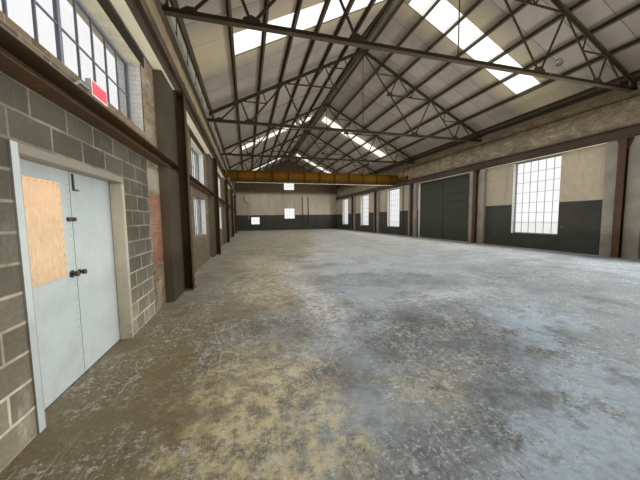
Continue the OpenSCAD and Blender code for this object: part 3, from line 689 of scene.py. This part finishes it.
def crane_finish():
    """Crane bridge: ochre paint, darker along the lower part as painted shade."""
    f = Finish("crane_paint")
    face = f.mottle(f.mottle(colours().crane, 1.2, 0.25), 0.1, 0.12)
    girder_low, girder_high = (corner.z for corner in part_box("bridge_girder"))
    edge = girder_low + (girder_high - girder_low) * 0.36
    # Painted shade: the girder darker along its lower part.
    painted_lower_shade = f.rest(f.step(f.plus(f.z, f.times(f.noise(0.8), 0.06)), edge, edge + 0.05))
    face = f.mix(f.times(painted_lower_shade, 0.75), face, "38281a")
    f.set(Base_Color=face, Roughness=0.6, Specular_IOR_Level=0.08, Normal=f.relief(f.noise(0.03), 0.002, 0.4))


NODE_FINISHES = {
    "slab_concrete": ["floor_slab"],
    "concrete_block": ["left_block_wall_near", "left_block_wall_far", "left_block_lintel"],
    "brick": ["left_lower_wall", "left_upper_wall", "right_upper_wall", "front_gable_wall"],
    "painted_brick": ["right_lower_wall_front", "right_lower_wall_rear", "rear_gable_wall"],
    "cast_concrete": ["left_piers", "right_piers", "right_door_lintel"],
    "lintel_concrete": ["window_lintels"],
    "plate_steel": ["wall_plates"],
    "dark_steel": ["purlins", "eave_struts"] + TRUSSES,
    "rusty_steel": ["columns", "left_girt"],
    "window_steel": ["left_sashes", "right_sashes", "gable_sashes"],
    "glass": ["left_glass", "right_glass", "gable_glass"],
    "big_door_steel": ["big_door"],
    "frame_paint": ["door_frame"],
    "leaf_paint": ["door_leaf_near", "door_leaf_far"],
    "plywood": ["door_panel"],
    "fitting_steel": ["near_leaf_fittings", "far_leaf_fittings"],
    "box_plastic": ["exit_box"],
    "roof_steel": ["roof_sheets_left", "roof_sheets_right", "ridge_cap"],
    "rooflight_sheet": ["rooflights"],
    "runway_steel": ["runway_beams"],
    "rail_steel": ["crane_rails", "bridge_wheels"],
    "crane_paint": ["bridge_girder", "end_carriages"],
}


class HALL_OT_finishes(bpy.types.Operator):
    """Give every solid of the hall its finish"""
    bl_idname = "hall.finishes"
    bl_label = "Finishes"

    def execute(self, context):
        hall = colours()
        for make in (block_finish, brick_finish, painted_wall_finish, slab_finish, plate_finish,
                     runway_finish, roof_finish, rooflight_finish, glass_finish, plywood_finish,
                     crane_finish):
            make()
        # The left piers' dark colour is partly painted shade.
        concrete_finish("cast_concrete", hall.pier, "655b4c")
        # The lintels' pale soffit colour is partly painted light from the windows below.
        concrete_finish("lintel_concrete", hall.lintel, "d6cfb5")
        steel_finish("dark_steel", hall.steel, "463022", dust=0.15, rough=0.6)
        steel_finish("rusty_steel", hall.rusty, "5a3c25", dust=0.3, rough=0.7)
        steel_finish("rail_steel", "4d4640", "6a4a34", dust=0.1, rough=0.45)
        steel_finish("fitting_steel", "47433d", "513b2b", dust=0.0, rough=0.4)
        steel_finish("galvanised", "8c9092", "75695a", dust=0.2, rough=0.5)
        paint_finish("track_paint", "b3aa94", "6f6654", rough=0.6)
        paint_finish("window_steel", hall.sash, "6b625a", chip=0.68)
        paint_finish("big_door_steel", hall.big_door, "2f2c27")
        paint_finish("frame_paint", hall.door_frame, "5d5a4e", chip=0.66, head=0.8, foot=0.3,
                     tones=frame_tones)
        paint_finish("leaf_paint", hall.leaf, "7d776a", chip=0.72, rough=0.45, head=0.57, foot=0.1)
        plastic_finish("box_plastic", "d8dbd6")
        plastic_finish("sign_red", "e0525c", glow=0.35)
        for name, nodes in NODE_FINISHES.items():
            for node in nodes:
                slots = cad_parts[node].material_slots
                for slot in slots:
                    slot.material = MATERIALS[name]
                if not slots:
                    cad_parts[node].data.materials.append(MATERIALS[name])
        return {"FINISHED"}


# Mesh helpers
def add_bar(shape, low, high, ease):
    """Add a rectangular bar between two corners, with its edges eased."""
    low, high = Vector(low), Vector(high)
    made = bmesh.ops.create_cube(shape, size=1.0)["verts"]
    bmesh.ops.scale(shape, vec=high - low, verts=made)
    bmesh.ops.translate(shape, vec=(low + high) / 2, verts=made)
    edges = list(dict.fromkeys(edge for vert in made for edge in vert.link_edges))
    bmesh.ops.bevel(shape, geom=edges, offset=ease, segments=2, affect="EDGES", profile=0.5, material=-1)


def placed(place, direction):
    """Give the matrix that sets a shape at a place, with its Z along a direction."""
    return Matrix.Translation(place) @ Vector(direction).to_track_quat("Z", "Y").to_matrix().to_4x4()


def add_cone(shape, place, direction, start_r, end_r, depth, sides):
    """Add a closed cone or cylinder about its middle, and give its points."""
    return bmesh.ops.create_cone(shape, cap_ends=True, segments=sides, radius1=start_r, radius2=end_r,
                                 depth=depth, matrix=placed(place, direction))["verts"]


def add_rod(shape, start, end, radius):
    """Add a round rod between two points."""
    start, end = Vector(start), Vector(end)
    add_cone(shape, (start + end) / 2, end - start, radius, radius, (end - start).length, 8)


def add_bolt(shape, place, facing, radius, height):
    """Add a bolt head that stands on a face."""
    add_cone(shape, Vector(place) + Vector(facing) * height * 0.45, facing, radius, radius * 0.85, height, 6)


def rounded(path, bend, steps=5):
    """Give a path's points with each corner replaced by an arc."""
    points = [Vector(p) for p in path]
    smooth = [points[0]]
    for before, corner, after in zip(points, points[1:], points[2:]):
        into = (before - corner).normalized() * bend
        out = (after - corner).normalized() * bend
        for i in range(steps + 1):
            t = i / steps
            smooth.append(corner + into * (1 - t) ** 2 + out * t ** 2)
    return smooth + [points[-1]]


def add_pipe(shape, path, radius, bend=0.05, sides=12):
    """Run a round pipe along a path with bent corners."""
    points = rounded(path, bend)
    heading = (points[1] - points[0]).normalized()
    ring = bmesh.ops.create_circle(shape, cap_ends=True, radius=radius, segments=sides,
                                   matrix=placed(points[0], heading))["verts"]
    face = next(f for f in ring[0].link_faces)
    for i in range(1, len(points)):
        ahead = (points[min(i + 1, len(points) - 1)] - points[i - 1]).normalized()
        swing = heading.rotation_difference(ahead).to_matrix().to_4x4()
        heading = ahead
        made = bmesh.ops.extrude_face_region(shape, geom=[face])["geom"]
        verts = [part for part in made if isinstance(part, bmesh.types.BMVert)]
        if i > 1:
            bmesh.ops.delete(shape, geom=[face], context="FACES_ONLY")
        face = next(part for part in made if isinstance(part, bmesh.types.BMFace))
        matrix = Matrix.Translation(points[i]) @ swing @ Matrix.Translation(-points[i - 1])
        bmesh.ops.transform(shape, matrix=matrix, verts=verts)


def spread(low, high, count):
    """Give count places evenly inside a run, with half a step at each end."""
    return [low + (high - low) * (i + 0.5) / count for i in range(count)]


def finish_piece(name, shape, material, body=HALL):
    """Turn a bmesh into a piece that rides on a body."""
    bmesh.ops.recalc_face_normals(shape, faces=shape.faces)
    mesh = bpy.data.meshes.new(name)
    shape.to_mesh(mesh)
    shape.free()
    mesh.materials.append(MATERIALS[material])
    piece = bpy.data.objects.new(name, mesh)
    bpy.context.scene.collection.objects.link(piece)
    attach(piece, body)


class HALL_OT_glazing(bpy.types.Operator):
    """Divide the windows with glazing bars"""
    bl_idname = "hall.glazing"
    bl_label = "Glazing bars"

    def execute(self, context):
        sizes = context.scene.hall_windows
        for wall in ("left", "right", "gable"):
            shape = bmesh.new()
            for low, high in solids(wall + "_glass"):
                across = 0 if high.x - low.x > high.y - low.y else 1
                through = 1 - across
                middle = (low[through] + high[through]) / 2
                for axis, pane, depth in ((across, sizes.pane_w, 1.0), (2, sizes.pane_h, 0.9)):
                    panes = max(2, round((high[axis] - low[axis]) / pane))
                    for i in range(1, panes):
                        post = axis == across and i * 2 == panes and panes > 6
                        half_w = (sizes.mullion_w if post else sizes.bar_w) / 2
                        half_d = sizes.bar_d / 2 * (1.4 if post else depth)
                        place = low[axis] + (high[axis] - low[axis]) * i / panes
                        start, end = Vector(low), Vector(high)
                        start[axis], end[axis] = place - half_w, place + half_w
                        start[through], end[through] = middle - half_d, middle + half_d
                        add_bar(shape, start, end, 0.004)
            finish_piece(wall + "_glazing_bars", shape, "window_steel")
        return {"FINISHED"}


class HALL_OT_sign(bpy.types.Operator):
    """Put the bare red face on the sign box, and run its conduit along the girt"""
    bl_idname = "hall.sign"
    bl_label = "Sign box and conduit"

    def execute(self, context):
        low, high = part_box("exit_box")
        rim = 0.014
        shape = bmesh.new()
        add_bar(shape, (high.x - 0.004, low.y + rim, low.z + rim),
                (high.x + 0.003, high.y - rim, high.z - rim), 0.003)
        finish_piece("sign_face", shape, "sign_red")
        radius = context.scene.hall_fittings.conduit_r
        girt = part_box("left_girt")[1]
        run = girt.z + radius
        out = girt.x - 0.03
        middle = (low.x + high.x) / 2
        shape = bmesh.new()
        add_pipe(shape, [(out, FRONT_FACE + 0.1, run), (out, low.y - 0.45, run),
                         (middle, low.y - 0.15, low.z + 0.05), (middle, low.y + 0.01, low.z + 0.05)],
                 radius, sides=10)
        for y in spread(FRONT_FACE + 0.5, low.y - 0.5, 5):
            add_bar(shape, (out - radius * 2, y - 0.012, girt.z - 0.002),
                    (out + radius * 1.15, y + 0.012, run + radius * 1.3), 0.003)
        finish_piece("sign_conduit", shape, "galvanised")
        return {"FINISHED"}


class HALL_OT_roof_rods(bpy.types.Operator):
    """Tie the purlins with sag rods at the middle of each bay"""
    bl_idname = "hall.roof_rods"
    bl_label = "Sag rods"

    def execute(self, context):
        radius = context.scene.hall_fittings.rod_r
        purlins = [(low + high) / 2 for low, high in solids("purlins")]
        shape = bmesh.new()
        for side in (-1, 1):
            line = sorted((p for p in purlins if p.x * side > 0), key=lambda p: p.x * side)
            for y in BAY_MIDDLES:
                for inner, outer in zip(line, line[1:]):
                    add_rod(shape, (inner.x, y, inner.z), (outer.x, y, outer.z), radius)
        finish_piece("sag_rods", shape, "dark_steel")
        return {"FINISHED"}


class HALL_OT_plate_straps(bpy.types.Operator):
    """Strap the left wall plate down"""
    bl_idname = "hall.plate_straps"
    bl_label = "Wall plate straps"

    def execute(self, context):
        spacing = 1.2
        shape = bmesh.new()
        for low, high in solids("wall_plates"):
            if low.x > 0:
                continue
            for y in spread(low.y, high.y, round((high.y - low.y) / spacing)):
                add_bar(shape, (high.x - 0.01, y - 0.025, low.z - 0.06),
                        (high.x + 0.012, y + 0.025, high.z - 0.02), 0.004)
                add_bolt(shape, (high.x + 0.012, y, high.z - 0.08), (1, 0, 0), 0.014, 0.012)
        finish_piece("plate_straps", shape, "dark_steel")
        return {"FINISHED"}


class HALL_OT_bolts(bpy.types.Operator):
    """Bolt the girt and the columns"""
    bl_idname = "hall.bolts"
    bl_label = "Bolts"

    def execute(self, context):
        sizes = context.scene.hall_fittings
        shape = bmesh.new()
        girt_low, girt_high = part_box("left_girt")
        for low, high in solids("left_girt"):
            for y in (low.y + 0.06, high.y - 0.06):
                for z in (girt_low.z + 0.05, girt_high.z - 0.05):
                    add_bolt(shape, (LEFT_FACE + 0.012, y, z), (1, 0, 0), sizes.bolt_r, sizes.bolt_h)
        for low, high in solids("columns"):
            side = 1 if low.x + high.x < 0 else -1
            flange = (low.x, high.x)[side > 0] - side * 0.02
            middle = (low.y + high.y) / 2
            for z in (high.z - 0.14, high.z - 0.24, low.z + 0.08, low.z + 0.18):
                for y in (middle - 0.06, middle + 0.06):
                    add_bolt(shape, (flange, y, z), (side, 0, 0), sizes.bolt_r, sizes.bolt_h)
        finish_piece("steelwork_bolts", shape, "dark_steel")
        return {"FINISHED"}


class HALL_OT_truss_bolts(bpy.types.Operator):
    """Rivet the trusses' bottom joints"""
    bl_idname = "hall.truss_bolts"
    bl_label = "Truss rivets"

    def execute(self, context):
        sizes = context.scene.hall_fittings
        plate_half = 0.016
        chord_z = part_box("truss_1")[0].z + 0.0625
        shape = bmesh.new()
        for y in TRUSS_Y:
            for facing in (-1, 1):
                for x in [gusset * side for gusset in GUSSET_X for side in (-1, 1)]:
                    for dx, dz in RIVETS:
                        add_bolt(shape, (x + dx, y + facing * plate_half, chord_z + dz), (0, facing, 0),
                                 sizes.bolt_r, sizes.bolt_h)
        finish_piece("truss_rivets", shape, "dark_steel")
        return {"FINISHED"}


class HALL_OT_lamps(bpy.types.Operator):
    """Fix the dish lamps on the trusses' bottom chords"""
    bl_idname = "hall.lamps"
    bl_label = "Lamps"

    def execute(self, context):
        rim = context.scene.hall_fittings.lamp_r
        from_middle = 3.25
        depth = 0.14
        shape = bmesh.new()
        for index, side, lift in ((0, 1, 0.3), (2, 1, -0.12), (3, 1, 0.12), (1, -1, 0.12)):
            y = TRUSS_Y[index]
            chord_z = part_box(TRUSSES[index])[0].z + 0.06
            place = Vector((from_middle * side, y - 0.2, chord_z + lift))
            aim = Vector((-0.35 * side, -0.55, -0.75)).normalized()
            add_rod(shape, (place.x, y, chord_z), place, 0.014)
            made = add_cone(shape, place + aim * depth / 2, -aim, rim, 0.045, depth, 24)
            mouth = max((f for v in made for f in v.link_faces), key=lambda face: face.calc_area())
            bmesh.ops.inset_region(shape, faces=[mouth], thickness=0.012, use_even_offset=True)
            bmesh.ops.translate(shape, vec=aim * -0.08, verts=list(mouth.verts))
        finish_piece("truss_lamps", shape, "galvanised")
        return {"FINISHED"}


class HALL_OT_festoon_track(bpy.types.Operator):
    """Hang the festoon cable's track under the near edge of the crane bridge"""
    bl_idname = "hall.festoon_track"
    bl_label = "Festoon track"

    def execute(self, context):
        low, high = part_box("bridge_girder")
        start, end = low.x + 0.6, high.x - 0.6
        y = low.y + 0.06
        shape = bmesh.new()
        add_bar(shape, (start, y - 0.02, low.z - 0.075), (end, y + 0.02, low.z - 0.04), 0.005)
        for x in spread(start, end, 12):
            add_bar(shape, (x - 0.02, y - 0.012, low.z - 0.045), (x + 0.02, y + 0.012, low.z + 0.01), 0.003)
        finish_piece("festoon_track", shape, "track_paint", CRANE)
        return {"FINISHED"}


class HALL_OT_rear_services(bpy.types.Operator):
    """Fix the pipes and the switch box on the rear wall"""
    bl_idname = "hall.rear_services"
    bl_label = "Rear wall services"

    def execute(self, context):
        radius = context.scene.hall_fittings.downpipe_r
        wall = REAR_FACE
        out = wall - radius - 0.03
        top, bend, foot = 4.6, 1.2, 0.9
        shape = bmesh.new()
        for x in (1.95, 2.75):
            add_pipe(shape, [(x, out, top), (x, out, bend), (x, out + radius, foot)], radius, 0.1)
            for clip in (1.7, 2.9, 4.1):
                add_bar(shape, (x - radius * 1.3, wall - 0.09, clip),
                        (x + radius * 1.3, wall, clip + 0.03), 0.006)
        finish_piece("rear_wall_pipes", shape, "dark_steel")
        left, right, bottom, top = -5.75, -5.3, 3.9, 4.5
        depth, lid_in, lid_h = 0.2, 0.03, 0.015
        shape = bmesh.new()
        add_bar(shape, (left, wall - depth, bottom), (right, wall, top), 0.02)
        add_bar(shape, (left + lid_in, wall - depth - lid_h, bottom + lid_in),
                (right - lid_in, wall - depth + 0.01, top - lid_in), 0.008)
        cable = Vector((right - 0.05, wall - 0.06, 0))
        add_pipe(shape, [cable + Vector((0, 0, bottom + 0.02)), cable + Vector((0, 0, 1.6))], 0.025)
        finish_piece("switch_box", shape, "galvanised")
        return {"FINISHED"}


class HALL_OT_right_services(bpy.types.Operator):
    """Fix the pipe and the conduit on the right wall"""
    bl_idname = "hall.right_services"
    bl_label = "Right wall services"

    def execute(self, context):
        height = context.scene.hall_fittings.conduit_z
        pipe_x = RIGHT_FACE - 0.06
        conduit_x = RIGHT_FACE - 0.03
        start, end = FRONT_FACE + 0.3, 1.4
        shape = bmesh.new()
        add_pipe(shape, [(pipe_x, end, 5.0), (pipe_x, end, 0.2)], 0.03)
        add_pipe(shape, [(conduit_x, start, height), (conduit_x, end, height),
                         (conduit_x, end, height - 0.7)], 0.016, 0.06, 8)
        for y in spread(start, end, 14):
            add_bar(shape, (RIGHT_FACE - 0.048, y - 0.012, height - 0.022),
                    (RIGHT_FACE, y + 0.012, height + 0.022), 0.003)
        finish_piece("right_wall_pipe", shape, "dark_steel")
        return {"FINISHED"}


class HALL_OT_door_details(bpy.types.Operator):
    """Nail the board on the near leaf, and the leaf's meeting edge"""
    bl_idname = "hall.door_details"
    bl_label = "Door details"

    def execute(self, context):
        sizes = context.scene.hall_fittings
        low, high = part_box("door_panel")
        leaf_low, leaf_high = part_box("door_leaf_near")
        inset = 0.02
        count = sizes.nail_count
        board = [(low.y + inset + (high.y - low.y - 2 * inset) * i / (count - 1), high.z - inset)
                 for i in range(count)]
        board += [(y, z) for z in spread(low.z, high.z, 11) for y in (low.y + inset, high.y - inset)]
        edge = [(leaf_high.y - 0.03, z) for z in spread(leaf_low.z + 0.1, leaf_high.z - 0.1, 26)]
        shape = bmesh.new()
        for face, nails in ((high.x, board), (leaf_high.x, edge)):
            for y, z in nails:
                add_bolt(shape, (face, y, z), (1, 0, 0), sizes.nail_r, 0.002)
        finish_piece("board_nails", shape, "fitting_steel", NEAR_LEAF)
        return {"FINISHED"}


class HALL_OT_big_door_boards(bpy.types.Operator):
    """Rib the big door with level panel joints between its stiles"""
    bl_idname = "hall.big_door_boards"
    bl_label = "Big door panels"

    def execute(self, context):
        low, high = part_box("big_door")
        count = context.scene.hall_fittings.panel_count
        shape = bmesh.new()
        for y in (low.y + 0.05, high.y - 0.05, (low.y + high.y) / 2):
            add_bar(shape, (low.x - 0.024, y - 0.05, low.z), (low.x + 0.01, y + 0.05, high.z), 0.004)
        for i in range(count + 1):
            z = low.z + 0.04 + (high.z - low.z - 0.08) * i / count
            add_bar(shape, (low.x - 0.018, low.y, z - 0.02), (low.x + 0.01, high.y, z + 0.02), 0.004)
        finish_piece("big_door_panels", shape, "big_door_steel")
        return {"FINISHED"}


# Stage
def add_object(name, data):
    """Put an object that isn't part of the hall into the scene."""
    made = bpy.data.objects.new(name, data)
    bpy.context.scene.collection.objects.link(made)
    return made


def lay_ground():
    shape = bmesh.new()
    bmesh.ops.create_grid(shape, x_segments=1, y_segments=1, size=90.0)
    mesh = bpy.data.meshes.new("ground")
    shape.to_mesh(mesh)
    shape.free()
    f = Finish("ground")
    f.set(Base_Color=f.mottle("e4e3df", 3.0, 0.02), Roughness=0.9)
    mesh.materials.append(f.material)
    add_object("ground", mesh)


def light_sky(daylight):
    """Light the hall from a sky that shows white to the camera, in gloss and through glass."""
    world = bpy.data.worlds.new("sky")
    world.use_nodes = True
    tree = world.node_tree
    background = tree.nodes["Background"]
    rays = tree.nodes.new("ShaderNodeLightPath").outputs
    shown = rays["Is Camera Ray"]
    for name in ("Is Glossy Ray", "Is Transmission Ray"):
        either = tree.nodes.new("ShaderNodeMath")
        either.operation = "MAXIMUM"
        tree.links.new(shown, either.inputs[0])
        tree.links.new(rays[name], either.inputs[1])
        shown = either.outputs[0]
    strength = tree.nodes.new("ShaderNodeMix")
    strength.inputs[2].default_value = daylight
    strength.inputs[3].default_value = 1.0
    tree.links.new(shown, strength.inputs[0])
    tree.links.new(strength.outputs[0], background.inputs["Strength"])
    background.inputs["Color"].default_value = (1, 1, 1, 1)
    bpy.context.scene.world = world


def light_bays(sizes):
    """Light each bay from above, from the floor and from the right windows' side."""
    inner_w = 2 * RIGHT_FACE - 0.8
    cool, warm = (0.97, 0.99, 1.0), (1.0, 0.97, 0.92)
    for index, (y, share) in enumerate(zip(BAY_MIDDLES, BAY_LIGHT)):
        for name, power, place, turn, wide, tint in (
                ("bay", sizes.inside_power * min(1.0, 0.4 + share), (0, y, 5.45), 0.0, inner_w, cool),
                ("bounce", sizes.bounce_power * share, (0, y, 0.9), math.pi, inner_w, warm),
                ("side", sizes.side_power * share, (RIGHT_FACE - 0.7, y, 2.4), math.pi / 2, 2.2, cool)):
            lamp = bpy.data.lights.new(f"{name}_{index}", "AREA")
            lamp.shape = "RECTANGLE"
            lamp.size = wide
            lamp.size_y = BAY * 0.9
            lamp.energy = power
            lamp.color = tint
            holder = add_object(lamp.name, lamp)
            holder.location = place
            holder.rotation_euler = (0, turn, 0)
            holder.visible_camera = False
            holder.visible_glossy = False
            holder.visible_transmission = False


def place_camera(focal):
    """Set the camera where the photo was taken from, just inside the front gable."""
    lens = bpy.data.cameras.new("camera")
    lens.lens = focal
    lens.sensor_width = 36.0
    lens.sensor_fit = "HORIZONTAL"
    lens.clip_start = 0.05
    lens.clip_end = 400
    yaw, pitch, roll = (math.radians(angle) for angle in CAMERA_TURN)
    forward = Vector((math.sin(yaw) * math.cos(pitch), math.cos(yaw) * math.cos(pitch), -math.sin(pitch)))
    right = Vector((math.cos(yaw), -math.sin(yaw), 0))
    up = right.cross(forward)
    across = right * math.cos(roll) + up * math.sin(roll)
    upward = up * math.cos(roll) - right * math.sin(roll)
    turned = Matrix((across, upward, -forward)).transposed().to_4x4()
    camera = add_object("camera", lens)
    camera.matrix_world = Matrix.Translation(CAMERA_PLACE) @ turned
    bpy.context.scene.camera = camera


class HALL_OT_stage(bpy.types.Operator):
    """Lay the pale floor, light the hall and set the camera"""
    bl_idname = "hall.stage"
    bl_label = "Stage"

    def execute(self, context):
        sizes = context.scene.hall_stage
        lay_ground()
        light_sky(sizes.daylight)
        sun = bpy.data.lights.new("soft_sun", "SUN")
        sun.energy = sizes.sun
        sun.angle = math.radians(SUN_WIDTH)
        holder = add_object("soft_sun", sun)
        holder.rotation_euler = [math.radians(angle) for angle in SUN_TURN]
        light_bays(sizes)
        place_camera(sizes.lens)
        context.scene.view_settings.view_transform = "Standard"
        return {"FINISHED"}


class HALL_PT_panel(bpy.types.Panel):
    """The hall's pieces, in the sidebar"""
    bl_label = "Factory hall"
    bl_idname = "HALL_PT_panel"
    bl_space_type = "VIEW_3D"
    bl_region_type = "UI"
    bl_category = "Factory hall"

    def draw(self, context):
        for place in GROUPS:
            group = getattr(context.scene, place)
            box = self.layout.box()
            for name in group.bl_rna.properties.keys():
                if name not in ("rna_type", "name"):
                    box.prop(group, name)
        for operator in OPERATORS:
            self.layout.operator(operator.bl_idname)


GROUPS = {"hall_colours": HallColours, "hall_windows": HallWindows, "hall_fittings": HallFittings,
          "hall_stage": HallStage}
OPERATORS = (HALL_OT_stage, HALL_OT_finishes, HALL_OT_glazing, HALL_OT_sign, HALL_OT_roof_rods,
             HALL_OT_plate_straps, HALL_OT_bolts, HALL_OT_truss_bolts, HALL_OT_lamps, HALL_OT_festoon_track,
             HALL_OT_rear_services, HALL_OT_right_services, HALL_OT_door_details, HALL_OT_big_door_boards)
CLASSES = (*GROUPS.values(), *OPERATORS, HALL_PT_panel)


def register():
    for item in CLASSES:
        bpy.utils.register_class(item)
    for place, group in GROUPS.items():
        setattr(bpy.types.Scene, place, PointerProperty(type=group))


def unregister():
    for place in GROUPS:
        delattr(bpy.types.Scene, place)
    for item in reversed(CLASSES):
        bpy.utils.unregister_class(item)


def main():
    """Build the whole scene."""
    register()
    for operator in OPERATORS:
        family, name = operator.bl_idname.split(".")
        getattr(getattr(bpy.ops, family), name)()


if __name__ == "__main__":
    main()
